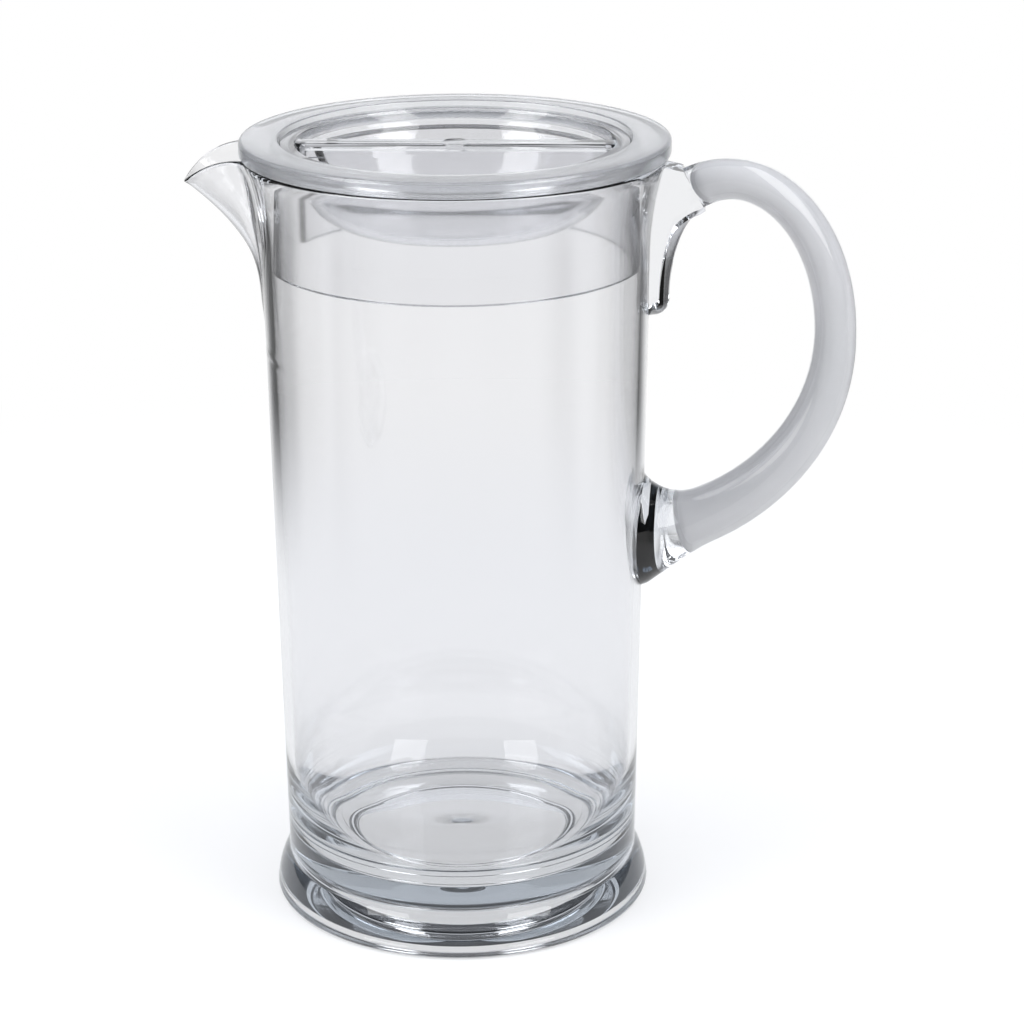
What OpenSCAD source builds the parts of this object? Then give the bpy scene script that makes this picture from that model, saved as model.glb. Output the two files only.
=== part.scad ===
// Clear plastic pitcher: drafted jug with a bell mouth, a pouring spout, a loop handle and a lid.
// The lid is a flange ring with a turning dial in it. A bar across the dial's bowl turns it,
// and the dial's skirt hangs in the mouth with a gap that is brought to the spout for pouring.
// Millimetres, +Z up. The origin is on the jug's axis, on the surface that it stands on.
// The handle is towards +X and the spout towards -X.

/* [Jug] */
// Height of the rim
jug_h = 245; // [225:1:265]
// Outer radius of the wall where the bell mouth begins
jug_r = 60.2; // [54:0.2:66]
// Thickness of the wall
wall = 2.8; // [2.2:0.1:3.4]
// Draft of the wall in degrees
draft = 0.9; // [0.5:0.1:1.3]
// Height of the bell mouth below the rim
flare_h = 30; // [24:1:36]
// How far the bell mouth stands out at the rim
flare_out = 4.8; // [4:0.1:6]
// Thickness of the floor
floor_t = 5; // [3.5:0.5:7]
// Width of the fillet between floor and wall, inside
floor_fillet = 13; // [10:0.5:16]
// Height of that fillet, which is the wall's taper
floor_rise = 30; // [22:1:36]

/* [Foot] */
// Height of the foot
foot_h = 14; // [12:0.5:17]
// How far the foot stands out from the wall
foot_out = 4.2; // [3:0.2:5]
// Width of the ring that the foot stands on
seat_w = 3; // [2:0.2:5]
// Radius of the foot's outer lower edge
foot_edge = 2; // [1.4:0.1:2.4]
// Height of the underside within that ring, and radius of its inner edge
under_z = 2; // [1.2:0.1:2.4]
// Radius of the recess in the underside
recess_r = 40.2; // [36:0.2:43]
// Height of the recess's roof
recess_z = 8.5; // [7.5:0.5:10]
// Radius of the fillet round that roof
recess_fillet = 5; // [3:0.5:5]

/* [Spout] */
// How far below the rim the spout begins
spout_drop = 52; // [44:1:58]
// How far the tip stands out from the wall
spout_reach = 23.8; // [18:0.2:27]
// How far the tip lies below the rim
lip_drop = 9; // [6:0.5:11]
// Width of the spout at the rim
spout_w = 32; // [26:1:36]
// Width of the spout's lower end
spout_root_w = 10; // [8:1:14]

/* [Handle] */
// How far the upper joint's middle lies below the rim
handle_drop = 11.7; // [10:0.1:14]
// Distance from the lower root's middle up to the upper joint's middle
handle_h = 109.8; // [104:0.2:116]
// Distance from the wall out to the middle of the grip
handle_reach = 57.8; // [50:0.2:64]
// Height above the lower root at which the grip stands out farthest
handle_belly = 63.5; // [58:0.5:69]
// Diameter of the grip at the top
grip_top_d = 12; // [11:0.2:14]
// Diameter of the grip where it stands out farthest
grip_mid_d = 13; // [12:0.2:15]
// Diameter of the grip at its lower end
grip_low_d = 20; // [17:0.5:22]
// Wall of the hollow grip
grip_wall = 2.2; // [1.8:0.1:2.8]
// How far the lower root spreads up and down on the wall
root_spread = 9; // [6:0.5:11]
// How far the lower root spreads to each side on the wall
root_side = 6; // [3:0.5:8]
// Thickness of the gusset under the rim
gusset_t = 11.6; // [9:0.2:13]
// Height of the gusset on the wall
gusset_h = 47.7; // [42:0.1:54]

/* [Lid] */
// Thickness of the flange ring
lid_t = 5; // [4:0.1:6]
// How far the flange overhangs the rim
lid_over = 0.8; // [0.4:0.1:1.4]
// Width of the flange ring
ring_w = 15; // [12:0.1:18]
// Depth of the bowl
bowl_d = 22.4; // [18:0.2:25]
// Width of the bowl's curved side, from its mouth to its flat bottom
bowl_side_w = 18.5; // [14:0.1:24]
// Thickness of the bowl and of the bar's skin
bowl_t = 2.4; // [2:0.1:2.8]
// How far the dial's lip lies below the flange's top
lip_sink = 1.6; // [1:0.1:2]
// Width of the dial's lip on the flange ring's ledge
lip_w = 2.7; // [2:0.1:3]
// Width of the grip bar
bar_w = 9; // [7:0.5:12]
// Depth of the skirt below the rim
skirt_h = 33.7; // [26:0.1:40]
// Thickness of the skirt
skirt_t = 2.2; // [1.8:0.1:2.6]
// Width of the gap in the skirt at the spout
pour_w = 41; // [32:1:48]

/* [Fits] */
// Gap between the skirt's lower edge and the wall
mouth_gap = 0.35; // [0.3:0.05:0.6]
// Running gap round the turning dial
run_gap = 0.4; // [0.3:0.05:0.6]
// Gap round the spigots in the grip's bore
bond_gap = 0.15; // [0.1:0.05:0.3]

/* [Hidden] */
$fn = 96;
clear = [0.84, 0.86, 0.89, 0.45];
eps = 0.01;
arc_steps = 8;

// Wall of the jug
flare_z = jug_h - flare_h;
flare_arc = (flare_h * flare_h + flare_out * flare_out) / (2 * flare_out);
function flare(z) = z < flare_z ? 0 : flare_arc - sqrt(flare_arc * flare_arc - pow(z - flare_z, 2));
function wall_r(z) = jug_r + (z - flare_z) * tan(draft) + flare(z);
function flare_heights() = [for (i = [0 : arc_steps]) flare_z + flare_h * i / arc_steps];
floor_z = foot_h + floor_t;
rim_r = wall_r(jug_h);

// Points of an arc about a centre, from one angle to another
function arc(centre, r, from, to) =
    [for (i = [0 : arc_steps]) centre + r * [cos(from + (to - from) * i / arc_steps),
                                             sin(from + (to - from) * i / arc_steps)]];

// A point of a cubic curve with four control points, and its slope
function curve(p, t) =
    pow(1 - t, 3) * p[0] + 3 * pow(1 - t, 2) * t * p[1] + 3 * (1 - t) * t * t * p[2] + pow(t, 3) * p[3];
function curve_slope(p, t) =
    pow(1 - t, 2) * (p[1] - p[0]) + 2 * (1 - t) * t * (p[2] - p[1]) + t * t * (p[3] - p[2]);

// Foot
foot_r = wall_r(foot_h) + foot_out;
foot_arc = (foot_h * foot_h + foot_out * foot_out) / (2 * foot_out);
gate_r = 6;
gate_depth = 0.8;

// Spout: level sections with parallel flanks and a round nose
spout_z = jug_h - spout_drop;
spout_root_sink = 0.8;
spout_curve = 2.3;
spout_levels = 14;
nose_steps = 10;
flank_spread = 1.08;
spout_inset = 10.2;
spout_inner_x = jug_r - spout_inset;
spout_over = 3;
lip_reach = jug_r + spout_reach - rim_r;
lip_arc = (lip_reach * lip_reach + lip_drop * lip_drop) / (2 * lip_drop);
function spout_share(z) = (z - spout_z) / spout_drop;
function keel_x(z) =
    jug_r - spout_root_sink + spout_reach * pow((z - spout_z) / (spout_drop - lip_drop), spout_curve);
function nose_r(z) = (spout_root_w + (spout_w - spout_root_w) * spout_share(z)) / 2;

// Handle: a curve in the plane of X and Z, from inside the wall at the lower root to the upper joint
grip_x = jug_r + handle_reach;
root_depth = 4.8;
upper_stand = 11.8;
handle_low_z = jug_h - handle_drop - handle_h;
low_point = [wall_r(handle_low_z) - root_depth, handle_low_z];
belly_point = [grip_x, handle_low_z + handle_belly];
top_point = [jug_r + upper_stand, handle_low_z + handle_h];
low_out = 26;
low_dip = 2.5;
belly_below = 41;
belly_above = 35;
top_out = 22;
top_rise = 12.7;
top_pull = [top_out, top_rise];
low_half = [low_point, low_point + [low_out, -low_dip], belly_point - [0, belly_below], belly_point];
top_half = [belly_point, belly_point + [0, belly_above], top_point + top_pull, top_point];
function path(u) = u < 1 ? curve(low_half, u) : curve(top_half, u - 1);
function path_slope(u) = u < 1 ? curve_slope(low_half, u) : curve_slope(top_half, u - 1);
function across(u) = [-path_slope(u)[1], path_slope(u)[0]] / norm(path_slope(u));

// The grip's section along that curve: it thins upwards and spreads at both ends
root_length = 20;
crown_from = 1.7;
crown_spread = 1;
low_joint = 0.15;
spigot = 0.07;
grip_rings = 36;
mount_rings = 8;
grip_sides = 24;
function root_share(u) =
    u > 1 ? 0 : pow(max(0, 1 - max(0, path(u)[0] - wall_r(handle_low_z)) / root_length), 2);
function crown_share(u) = u < crown_from ? 0 : pow((u - crown_from) / (2 - crown_from), 2);
function grip_r(u) =
    (u < 1 ? grip_low_d + (grip_mid_d - grip_low_d) * u : grip_mid_d + (grip_top_d - grip_mid_d) * (u - 1)) / 2;
function half_tall(u) = grip_r(u) + root_spread * root_share(u) + crown_spread * crown_share(u);
function half_wide(u) = grip_r(u) + root_side * root_share(u);
function ring(u, inset) =
    [for (i = [0 : grip_sides - 1])
        let (a = 360 * i / grip_sides,
             p = path(u) + (half_tall(u) - inset) * cos(a) * across(u))
        [p[0], (half_wide(u) - inset) * sin(a), p[1]]];

// Gusset
gusset_nose = 4.9;
gusset_top_gap = 3.8;
gusset_stand = 1;
gusset_nose_x = jug_r + gusset_stand;
gusset_z = jug_h - gusset_top_gap - gusset_h + gusset_nose;
gusset_rise = 12;
gusset_blend = 9;

// Lid
lid_r = rim_r + lid_over;
lid_z = jug_h + lid_t;
lip_z = lid_z - lip_sink;
lip_t = 1.4;
ledge_z = lip_z - lip_t;
ring_hole = lid_r - ring_w;
bowl_r = ring_hole - run_gap - bowl_t;
bowl_flat = bowl_r - bowl_side_w;
lip_r = ring_hole + lip_w;
lid_edge = 1.2;
under_edge = 0.8;
ring_gap = 0.3;
web_t = 2.4;
web_in = 6;
skirt_z = jug_h - skirt_h;
skirt_r = wall_r(skirt_z) - wall - mouth_gap;
web_z = jug_h - ring_gap - web_t;
bowl_steps = 12;
bar_sink = 0.4;
boss_r = 5;
boss_dimple_r = 3.6;
boss_dimple = 0.5;
function bowl_point(a, out) =
    [bowl_flat + (bowl_r - bowl_flat + out) * cos(a), lip_z - (bowl_d + out) * sin(a)];
function bowl_side(out, from) =
    [for (i = [0 : bowl_steps]) bowl_point(from + (90 - from) * i / bowl_steps, out)];

// Outside of the wall as one solid, which the handle's mounts are cut by
module wall_outside() {
    rotate_extrude()
        polygon(concat([[0, foot_h], [wall_r(foot_h), foot_h]],
                       [for (z = flare_heights()) [wall_r(z), z]],
                       [[0, jug_h]]));
}

// Space inside the wall, open at the mouth
module wall_inside() {
    corner = [wall_r(floor_z + floor_rise) - wall - floor_fillet, floor_z + floor_rise];
    rotate_extrude()
        polygon(concat([[0, floor_z]],
                       [for (p = arc([0, 0], 1, -90, 0)) corner + [floor_fillet * p[0], floor_rise * p[1]]],
                       [for (z = flare_heights()) [wall_r(z) - wall, z]],
                       [[rim_r - wall, jug_h + eps], [0, jug_h + eps]]));
}

// One level section of the spout, from inside the jug round its nose and back
function spout_section(z, inset) =
    let (r = nose_r(z) - inset, x = keel_x(z) - inset - r, flank = r * flank_spread)
    concat([[-spout_inner_x, -flank, z]],
           [for (i = [0 : nose_steps])
               let (a = -90 + 180 * i / nose_steps) [-x - r * cos(a), r * sin(a), z]],
           [[-spout_inner_x, flank, z]]);

// Solid through the spout's level sections
module spout_solid(inset, top) {
    n = nose_steps + 3;
    points = [for (i = [0 : spout_levels])
                 each spout_section(spout_z + (top - spout_z) * i / spout_levels, inset)];
    sides = [for (i = [0 : spout_levels - 1], j = [0 : n - 1])
                let (a = i * n + j, b = i * n + (j + 1) % n)
                each [[a, b, b + n], [a, b + n, a + n]]];
    last = spout_levels * n;
    low_cap = [for (j = [1 : n - 2]) [0, j + 1, j]];
    top_cap = [for (j = [1 : n - 2]) [last, last + j, last + j + 1]];
    polyhedron(points, concat(sides, low_cap, top_cap));
}

// What is taken off above the spout's lip, which curves down to the tip
module lip_cut() {
    depth = spout_w + 2 * spout_over;
    rotate([90, 0, 0])
        translate([0, 0, -depth / 2])
            linear_extrude(depth)
                difference() {
                    translate([-rim_r - 2 * lip_reach, jug_h - lip_arc])
                        square([2 * lip_reach, lip_arc + 2 * spout_over]);
                    translate([-rim_r, jug_h - lip_arc])
                        circle(lip_arc);
                }
}

module jug_body() {
    color(clear)
        difference() {
            union() {
                wall_outside();
                spout_solid(0, jug_h);
            }
            wall_inside();
            spout_solid(wall, jug_h + spout_over);
            lip_cut();
        }
}

// The foot: a plate under the floor, with the gate's dimple in its recess, and the ring round it
module foot_ring() {
    seat_r = foot_r - foot_edge;
    color(clear)
        rotate_extrude()
            polygon(concat([[0, recess_z + gate_depth], [gate_r - gate_depth, recess_z + gate_depth],
                            [gate_r, recess_z]],
                           arc([recess_r, recess_z] - [recess_fillet, recess_fillet], recess_fillet, 90, 0),
                           [[recess_r, under_z]],
                           arc([seat_r - seat_w, under_z], under_z, 180, 270),
                           arc([seat_r, foot_edge], foot_edge, -90, 0),
                           [for (i = [1 : arc_steps])
                               let (z = foot_edge + (foot_h - foot_edge) * i / arc_steps)
                               [foot_r - foot_arc + sqrt(foot_arc * foot_arc - z * z), z]],
                           [[0, foot_h]]));
}

// Solid along the handle's curve from u0 to u1
module handle_stretch(u0, u1, rings, inset) {
    n = grip_sides;
    points = [for (i = [0 : rings]) each ring(u0 + (u1 - u0) * i / rings, inset)];
    sides = [for (i = [0 : rings - 1], j = [0 : n - 1])
                let (a = i * n + j, b = i * n + (j + 1) % n)
                each [[a, b, b + n], [a, b + n, a + n]]];
    start = [for (j = [1 : n - 2]) [0, j + 1, j]];
    end = [for (j = [1 : n - 2]) [rings * n, rings * n + j, rings * n + j + 1]];
    polyhedron(points, concat(sides, start, end));
}

module handle_lower_mount() {
    color(clear)
        difference() {
            union() {
                handle_stretch(0, low_joint, mount_rings, 0);
                handle_stretch(low_joint - spigot, low_joint + spigot, mount_rings, grip_wall + bond_gap);
            }
            wall_outside();
        }
}

module handle_upper_mount() {
    joint_low = top_point + half_tall(2) * across(2);
    joint_high = top_point - half_tall(2) * across(2);
    nose = [gusset_nose_x, gusset_z];
    nose_end = nose + [gusset_nose, 0];
    edge = [nose_end, nose_end + [0, gusset_rise], joint_low - gusset_blend * top_pull / norm(top_pull), joint_low];
    top_z = jug_h - gusset_top_gap;
    inside_x = jug_r - 2 * wall;
    color(clear)
        difference() {
            union() {
                rotate([90, 0, 0])
                    translate([0, 0, -gusset_t / 2])
                        linear_extrude(gusset_t)
                            polygon(concat([[inside_x, gusset_z - gusset_nose]],
                                           arc(nose, gusset_nose, -90, 0),
                                           [for (i = [1 : arc_steps]) curve(edge, i / arc_steps)],
                                           [joint_high, [rim_r, top_z], [inside_x, top_z]]));
                handle_stretch(2 - spigot, 2 + spigot / 2, mount_rings, grip_wall + bond_gap);
            }
            wall_outside();
        }
}

module handle_grip() {
    n = grip_sides;
    outer = [for (i = [0 : grip_rings]) each ring(low_joint + (2 - low_joint) * i / grip_rings, 0)];
    inner = [for (i = [0 : grip_rings]) each ring(low_joint + (2 - low_joint) * i / grip_rings, grip_wall)];
    m = len(outer);
    last = grip_rings * n;
    sides = [for (i = [0 : grip_rings - 1], j = [0 : n - 1])
                let (a = i * n + j, b = i * n + (j + 1) % n)
                each [[a, b, b + n], [a, b + n, a + n],
                      [m + a, m + b + n, m + b], [m + a, m + a + n, m + b + n]]];
    ends = [for (j = [0 : n - 1])
               let (k = (j + 1) % n)
               each [[j, m + k, k], [j, m + j, m + k],
                     [last + j, last + k, m + last + k], [last + j, m + last + k, m + last + j]]];
    color(clear)
        polyhedron(concat(outer, inner), concat(sides, ends));
}

module lid_ring() {
    color(clear)
        rotate_extrude()
            polygon(concat([[ring_hole, jug_h], [lid_r - under_edge, jug_h], [lid_r, jug_h + under_edge]],
                           arc([lid_r - lid_edge, lid_z - lid_edge], lid_edge, 0, 90),
                           [[lip_r + run_gap, lid_z], [lip_r + run_gap, ledge_z], [ring_hole, ledge_z]]));
}

// Solid inside the bowl's surface that lies out from its inner face by a distance
module bowl_solid(out) {
    from = asin((lip_z - ledge_z) / (bowl_d + out));
    rotate_extrude()
        polygon(concat([[0, ledge_z]], bowl_side(out, from), [[0, lip_z - bowl_d - out]]));
}

module lid_dial() {
    from = asin((lip_z - ledge_z) / (bowl_d + bowl_t));
    out_side = bowl_side(bowl_t, from);
    in_side = bowl_side(0, 0);
    bar_h = bowl_d + bowl_t / 2 - bar_sink;
    core = [bowl_r - bowl_t, bar_w / 2 - bowl_t];
    color(clear)
        difference() {
            union() {
                rotate_extrude()
                    polygon(concat([[lip_r, ledge_z], [lip_r, lip_z]], in_side,
                                   [[0, lip_z - bowl_d], [0, lip_z - bowl_d - bowl_t]],
                                   [for (i = [bowl_steps : -1 : 0]) out_side[i]]));
                intersection() {
                    bowl_solid(bowl_t / 2);
                    translate([0, 0, lip_z - bar_sink - bar_h])
                        union() {
                            translate([-bowl_r, -bar_w / 2, 0])
                                cube([2 * bowl_r, bar_w, bar_h]);
                            cylinder(h = bar_h, r = boss_r);
                        }
                }
            }
            translate([0, 0, ledge_z - boss_dimple])
                cylinder(h = bowl_t, r1 = boss_dimple_r, r2 = boss_r);
            translate([-core[0], -core[1], lip_z - bar_sink - bowl_t - bowl_d])
                cube([2 * core[0], 2 * core[1], bowl_d]);
        }
}

module lid_skirt() {
    color(clear)
        difference() {
            rotate_extrude()
                polygon([[skirt_r - skirt_t, skirt_z], [skirt_r, skirt_z], [skirt_r, web_z + web_t],
                         [ring_hole - web_in, web_z + web_t], [ring_hole - web_in, web_z],
                         [skirt_r - skirt_t, web_z]]);
            bowl_solid(bowl_t);
            translate([-skirt_r - skirt_t, -pour_w / 2, skirt_z - skirt_t])
                cube([skirt_r, pour_w, web_z - skirt_z + skirt_t]);
        }
}

jug_body();
foot_ring();
handle_lower_mount();
handle_upper_mount();
handle_grip();
lid_ring();
lid_dial();
lid_skirt();
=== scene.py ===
"""Clear moulded pitcher with a spout, a hollow loop handle and a two-part lid.

The jug, the handle and the lid are modelled at the solids' own sizes, in millimetres, and stand in for them.
"""
import logging
import math
from dataclasses import dataclass
from enum import Enum

import bmesh
import bpy
import numpy as np
from mathutils import Matrix, Vector


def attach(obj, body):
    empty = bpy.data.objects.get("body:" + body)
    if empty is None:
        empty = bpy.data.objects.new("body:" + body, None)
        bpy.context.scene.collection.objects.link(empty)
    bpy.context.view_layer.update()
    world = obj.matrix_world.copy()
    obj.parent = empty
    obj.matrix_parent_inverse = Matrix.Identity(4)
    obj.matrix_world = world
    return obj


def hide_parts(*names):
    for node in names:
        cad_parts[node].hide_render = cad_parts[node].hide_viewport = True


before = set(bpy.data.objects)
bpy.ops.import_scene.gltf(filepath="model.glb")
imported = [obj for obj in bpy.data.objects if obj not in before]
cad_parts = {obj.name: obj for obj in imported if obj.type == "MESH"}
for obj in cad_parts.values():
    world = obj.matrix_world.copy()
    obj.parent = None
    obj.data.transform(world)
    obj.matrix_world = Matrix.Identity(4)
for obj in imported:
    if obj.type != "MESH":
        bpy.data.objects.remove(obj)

LOG = logging.getLogger("pitcher")
MM = 0.001
WELD = 0.002 * MM
SHARP_ABOVE = math.radians(40)
Point = tuple[float, float]
Triple = tuple[float, float, float]


class Body(Enum):
    """The bodies that the pieces ride on."""

    JUG = "jug"
    FLANGE = "lid_flange"
    CENTRE = "lid_centre"


class Slot(Enum):
    """The record's material slots."""

    JUG = "jug_plastic"
    LID = "lid_plastic"


def linear(code: str) -> tuple[float, float, float, float]:
    """Turns an sRGB hex colour into linear light.

    Args:
        code: Colour such as "E6E7E9".

    Returns:
        Red, green, blue and full alpha.
    """
    parts = [int(code[i:i + 2], 16) / 255 for i in (0, 2, 4)]
    red, green, blue = [c / 12.92 if c <= 0.04045 else ((c + 0.055) / 1.055) ** 2.4 for c in parts]
    return (red, green, blue, 1.0)


def add_node(tree: bpy.types.NodeTree, kind: str, settings: dict | None = None,
             inputs: dict | None = None) -> bpy.types.Node:
    """Adds a node with its settings, socket values and links.

    Args:
        tree: Node tree that gets the node.
        kind: Blender's name of the node type.
        settings: Properties of the node.
        inputs: Socket name or index to a value, or to a socket that is linked to it.

    Returns:
        The new node.
    """
    node = tree.nodes.new(kind)
    for key, value in (settings or {}).items():
        setattr(node, key, value)
    for key, value in (inputs or {}).items():
        if isinstance(value, bpy.types.NodeSocket):
            tree.links.new(value, node.inputs[key])
        else:
            node.inputs[key].default_value = value
    return node


def arc(centre: Point, radius: float, start: float, stop: float, steps: int = 10) -> list[Point]:
    """Gives the points of an arc in a section.

    Args:
        centre: Centre as radius and height.
        radius: Radius of the arc.
        start: First angle in degrees.
        stop: Last angle in degrees.
        steps: Number of steps between them.

    Returns:
        The points in order.
    """
    angles = [math.radians(start + (stop - start) * i / steps) for i in range(steps + 1)]
    return [(centre[0] + radius * math.cos(a), centre[1] + radius * math.sin(a)) for a in angles]


def cubic(points: list[Point], t: float) -> Point:
    """Gives the point at t on a cubic curve with four control points."""
    shares = ((1 - t) ** 3, 3 * (1 - t) ** 2 * t, 3 * (1 - t) * t * t, t ** 3)
    return (sum(s * p[0] for s, p in zip(shares, points)), sum(s * p[1] for s, p in zip(shares, points)))


def deselect() -> None:
    """Leaves edit mode and deselects everything."""
    if bpy.context.mode != "OBJECT":
        bpy.ops.object.mode_set(mode="OBJECT")
    bpy.ops.object.select_all(action="DESELECT")


def trace(name: str, points: list[Triple]) -> bpy.types.Object:
    """Draws a line of edges: a plane is merged to one point, which is extruded from point to point.

    Args:
        name: Name of the new piece.
        points: Points in millimetres.

    Returns:
        The piece, in edit mode with its last point selected.
    """
    deselect()
    bpy.ops.mesh.primitive_plane_add(size=MM)
    piece = bpy.context.active_object
    piece.name = name
    piece.data.name = name
    bpy.ops.object.mode_set(mode="EDIT")
    bpy.ops.mesh.select_mode(type="VERT")
    bpy.ops.mesh.select_all(action="SELECT")
    bpy.ops.mesh.merge(type="CENTER")
    bpy.ops.transform.translate(value=Vector(points[0]) * MM)
    for before, after in zip(points, points[1:]):
        step = (Vector(after) - Vector(before)) * MM
        bpy.ops.mesh.extrude_region_move(TRANSFORM_OT_translate={"value": step})
    return piece


def close_up(piece: bpy.types.Object) -> bpy.types.Object:
    """Merges doubles, turns the faces outwards and shades the piece smooth.

    Args:
        piece: The piece to finish.

    Returns:
        The same piece, in object mode.
    """
    deselect()
    piece.select_set(True)
    bpy.context.view_layer.objects.active = piece
    bpy.ops.object.mode_set(mode="EDIT")
    bpy.ops.mesh.select_all(action="SELECT")
    bpy.ops.mesh.remove_doubles(threshold=WELD)
    bpy.ops.mesh.normals_make_consistent(inside=False)
    bpy.ops.object.mode_set(mode="OBJECT")
    bpy.ops.object.shade_smooth_by_angle(angle=SHARP_ABOVE)
    return piece


def turned(name: str, profile: list[Point], steps: int) -> bpy.types.Object:
    """Turns a section about the upright axis.

    Args:
        name: Name of the new piece.
        profile: Radius and height of the section's points in millimetres.
        steps: Number of steps round.

    Returns:
        The closed piece.
    """
    piece = trace(name, [(r, 0, z) for r, z in profile])
    bpy.ops.mesh.select_all(action="SELECT")
    bpy.ops.mesh.spin(steps=steps, angle=math.tau, center=(0, 0, 0), axis=(0, 0, 1))
    return close_up(piece)


def combine(piece: bpy.types.Object, tool: bpy.types.Object, operation: str) -> None:
    """Joins, cuts or keeps the common part of two closed pieces, and removes the second one.

    The solver leaves an empty material slot, which is cleared for the plastic that follows.

    Args:
        piece: The piece that stays.
        tool: The piece that is used up.
        operation: UNION, DIFFERENCE or INTERSECT.
    """
    deselect()
    bpy.context.view_layer.objects.active = piece
    piece.select_set(True)
    modifier = piece.modifiers.new("combine", "BOOLEAN")
    modifier.operation = operation
    modifier.solver = "MANIFOLD"
    modifier.object = tool
    bpy.ops.object.modifier_apply(modifier=modifier.name)
    piece.data.materials.clear()
    bpy.data.objects.remove(tool, do_unlink=True)


@dataclass(frozen=True)
class ClearPlastic:
    """Injection-moulded clear plastic: sharp refraction, faint grey-blue body colour in thick places.

    The polished mould leaves a surface that is not quite flat: slow ripples, and a fine haze of handling
    marks. Grain is the roughness of a matt surface, and milk the share of light that it scatters.
    """

    name: str
    tint: str = "FAFAFB"
    body: str = "94A6B6"
    density: float = 9.0
    ior: float = 1.56
    haze: float = 0.01
    grain: float = 0.0
    milk: float = 0.0
    ripple_mm: float = 30.0
    ripple_height_mm: float = 0.01
    marks_mm: float = 6.0
    marks_from: float = 0.35
    marks_to: float = 0.75

    def make(self) -> bpy.types.Material:
        """Builds the material's nodes."""
        material = bpy.data.materials.new(self.name)
        material.use_nodes = True
        tree = material.node_tree
        tree.nodes.clear()
        place = add_node(tree, "ShaderNodeTexCoord").outputs["Object"]
        ripple = add_node(tree, "ShaderNodeTexNoise", None,
                          {"Vector": place, "Scale": 1 / (self.ripple_mm * MM), "Detail": 1.0})
        bump = add_node(tree, "ShaderNodeBump", None,
                        {"Height": ripple.outputs["Fac"], "Strength": 1.0,
                         "Distance": self.ripple_height_mm * MM})
        marks = add_node(tree, "ShaderNodeTexNoise", None,
                         {"Vector": place, "Scale": 1 / (self.marks_mm * MM), "Detail": 4.0})
        haze = add_node(tree, "ShaderNodeMapRange", None,
                        {"Value": marks.outputs["Fac"],
                         "From Min": self.marks_from, "From Max": self.marks_to,
                         "To Min": self.grain, "To Max": self.grain + self.haze})
        shader = add_node(tree, "ShaderNodeBsdfPrincipled", None,
                          {"Base Color": linear(self.tint), "Transmission Weight": 1.0 - self.milk,
                           "IOR": self.ior, "Roughness": haze.outputs["Result"],
                           "Normal": bump.outputs["Normal"]})
        depth = add_node(tree, "ShaderNodeVolumeAbsorption", None,
                         {"Color": linear(self.body), "Density": self.density})
        add_node(tree, "ShaderNodeOutputMaterial", None,
                 {"Surface": shader.outputs["BSDF"], "Volume": depth.outputs["Volume"]})
        return material


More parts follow.
